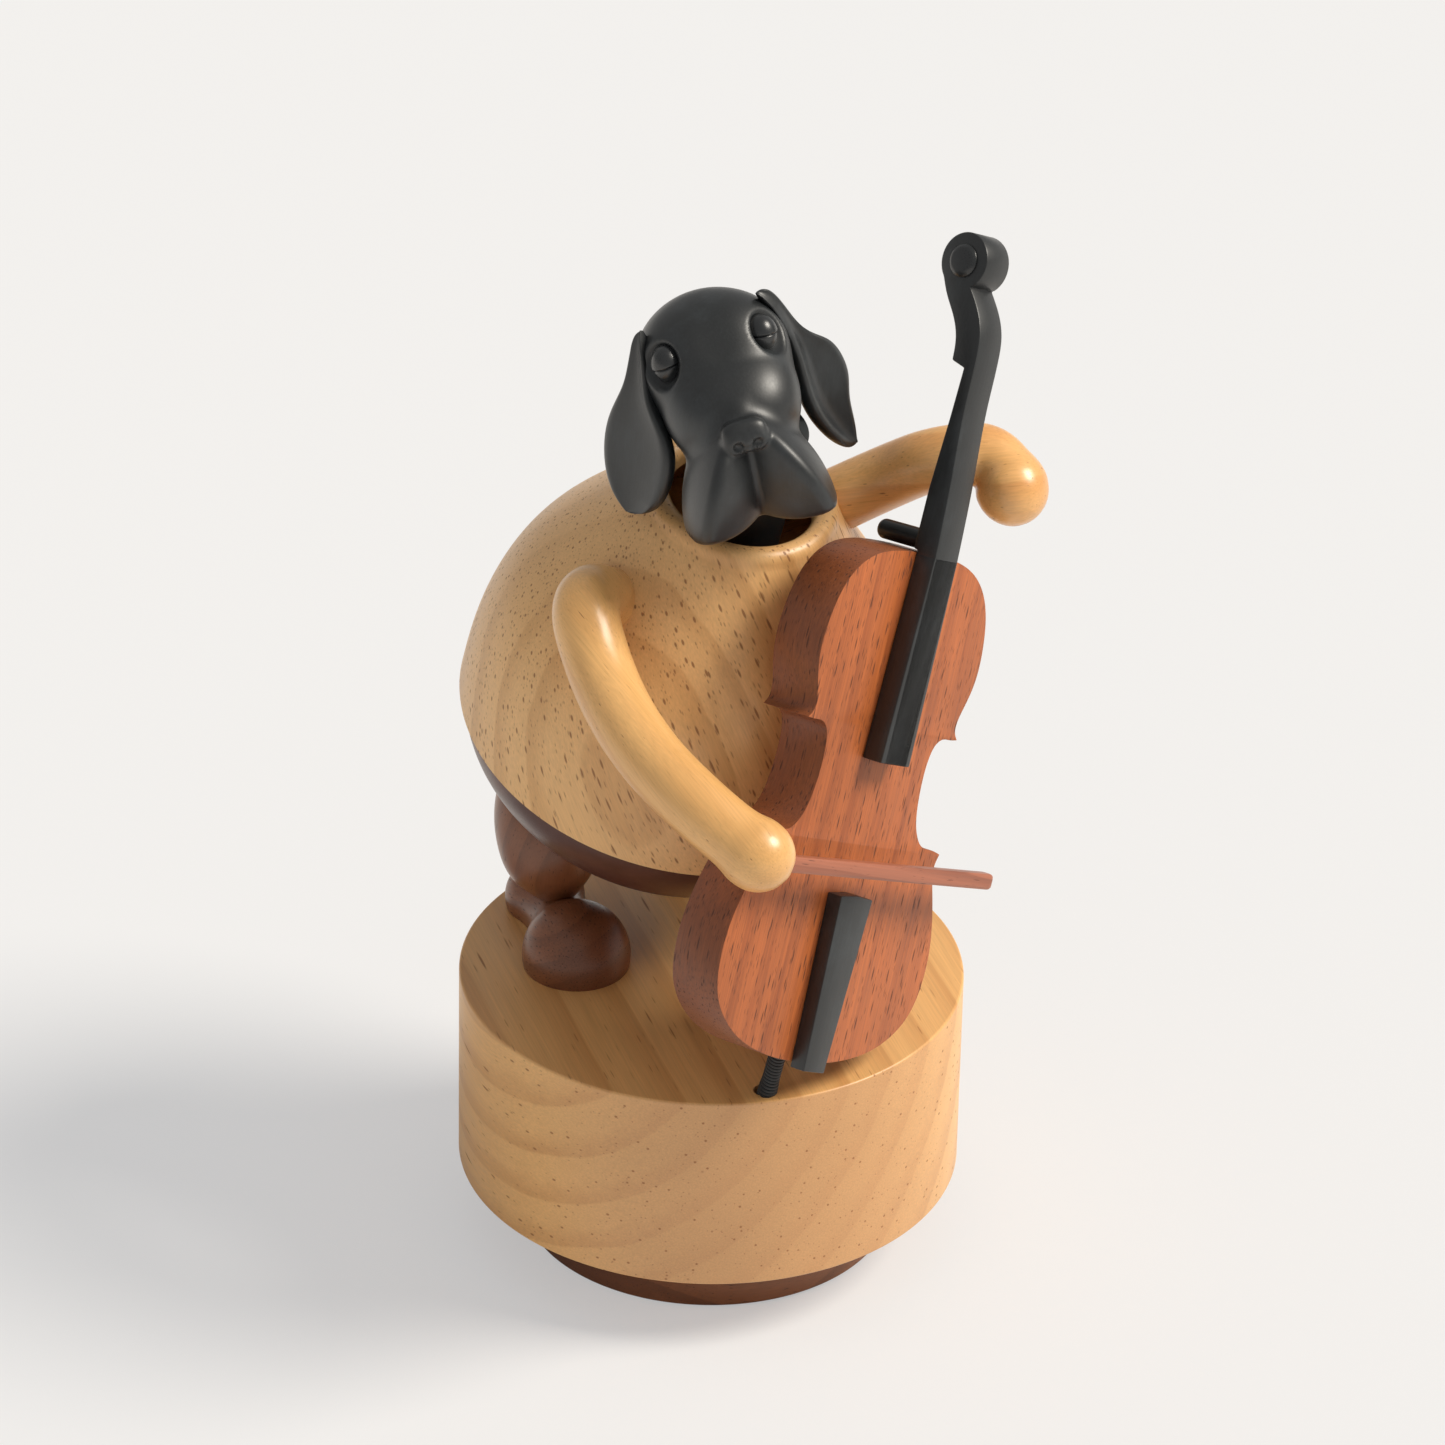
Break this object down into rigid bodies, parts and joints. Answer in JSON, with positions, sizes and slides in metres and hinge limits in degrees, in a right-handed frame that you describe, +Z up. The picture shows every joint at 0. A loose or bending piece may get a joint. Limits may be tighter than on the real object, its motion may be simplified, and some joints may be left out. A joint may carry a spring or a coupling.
{
  "type": "rotating music box",
  "caption": "Turning wooden music box: a round drum that revolves on a foot disc, with a carved hound figure that bows a cello on top.",
  "frame": {"origin": "centre of the foot's underside, on the drum's axis", "axes": "+Z up along the drum's axis; the figure faces -Y, its right hand is towards -X"},
  "size_m": [0.0944, 0.1112, 0.19],
  "materials": {
    "felt": "matt felt",
    "walnut": "oiled walnut, satin",
    "drum_wood": "clear satin lacquer",
    "body_wood": "clear satin lacquer",
    "arm_wood": "clear satin lacquer",
    "arm_wood_gold": "clear satin lacquer",
    "cello_wood": "oiled, satin",
    "belly_leather": "dark stained, smooth",
    "black_wood": "black stain, satin wax",
    "black_gloss": "black, semi-gloss",
    "brass": "turned brass",
    "steel": "zinc-plated steel",
    "spring_steel": "blackened spring wire"
  },
  "bodies": {
    "foot": {"foot_pad": "felt", "foot_disc": "walnut", "winding_arbor": "steel", "flange_screws": "steel", "crown_wheel": "brass", "crown_nut": "steel"},
    "turntable": {"drum_body": "drum_wood", "bottom_plate": "drum_wood", "plate_screws": "steel", "movement_screws": "steel", "bedplate": "brass", "spring_cover": "brass", "mainspring": "steel", "bearing_posts": "brass", "comb_base": "brass", "comb": "steel", "comb_screws": "steel", "governor_frame": "brass", "body_shell": "body_wood", "belly_cap": "belly_leather", "neck_bridge": "body_wood", "foot_right": "walnut", "foot_left": "walnut", "leg_right": "walnut", "leg_left": "walnut", "arm_left": "arm_wood_gold", "cello_plate": "cello_wood", "cello_neck": "black_wood", "scroll_buttons": "black_gloss", "tailpiece": "black_wood", "cello_dowel": "cello_wood", "endpin_spring": "spring_steel"},
    "cylinder": {"tune_shaft": "steel", "tune_pinion": "brass", "tune_cylinder": "brass", "drive_wheel": "brass"},
    "governor_wheel": {"gov_shaft": "steel", "gov_pinion": "steel", "worm_wheel": "brass"},
    "worm": {"worm_shaft": "steel", "worm_screw": "steel", "fan": "brass"},
    "yoke": {"yoke": "steel", "yoke_pin": "steel"},
    "head": {"neck_column": "black_wood", "head_carving": "black_wood", "eyes": "black_gloss", "ear_right": "black_wood", "ear_left": "black_wood"},
    "bow_arm": {"arm_right": "arm_wood", "bow": "cello_wood"}
  },
  "joints": [
    {"name": "drum_turn", "type": "hinge", "parent": "foot", "child": "turntable", "pos_m": [0, 0, 0.013], "axis": [0, 0, 1], "continuous": true},
    {"name": "tune_spin", "type": "hinge", "parent": "turntable", "child": "cylinder", "pos_m": [0.0146, 0, 0.0372], "axis": [1, 0, 0], "continuous": true},
    {"name": "governor_spin", "type": "hinge", "parent": "turntable", "child": "governor_wheel", "pos_m": [0.03, 0.0092, 0.03214], "axis": [1, 0, 0], "continuous": true},
    {"name": "worm_spin", "type": "hinge", "parent": "turntable", "child": "worm", "pos_m": [0.0281, 0.01545, 0.03], "axis": [0, 0, 1], "continuous": true},
    {"name": "head_turn", "type": "hinge", "parent": "turntable", "child": "yoke", "pos_m": [0.0051, 0.00803, 0.1217], "axis": [0, -0.3024, 0.9532], "range_deg": [-12, 12]},
    {"name": "head_nod", "type": "hinge", "parent": "yoke", "child": "head", "pos_m": [0.0051, 0.00516, 0.13075], "axis": [1, 0, 0], "range_deg": [-6, 8]},
    {"name": "bow_swing", "type": "hinge", "parent": "turntable", "child": "bow_arm", "pos_m": [-0.0215, 0.0046, 0.1308], "axis": [-0.7998, -0.2999, 0.5199], "range_deg": [0, 12]}
  ],
  "couplings": [
    {"joint": "tune_spin", "follows": "drum_turn", "ratio": -1.7778},
    {"joint": "governor_spin", "follows": "drum_turn", "ratio": 4.4444},
    {"joint": "worm_spin", "follows": "drum_turn", "ratio": -71.111}
  ]
}
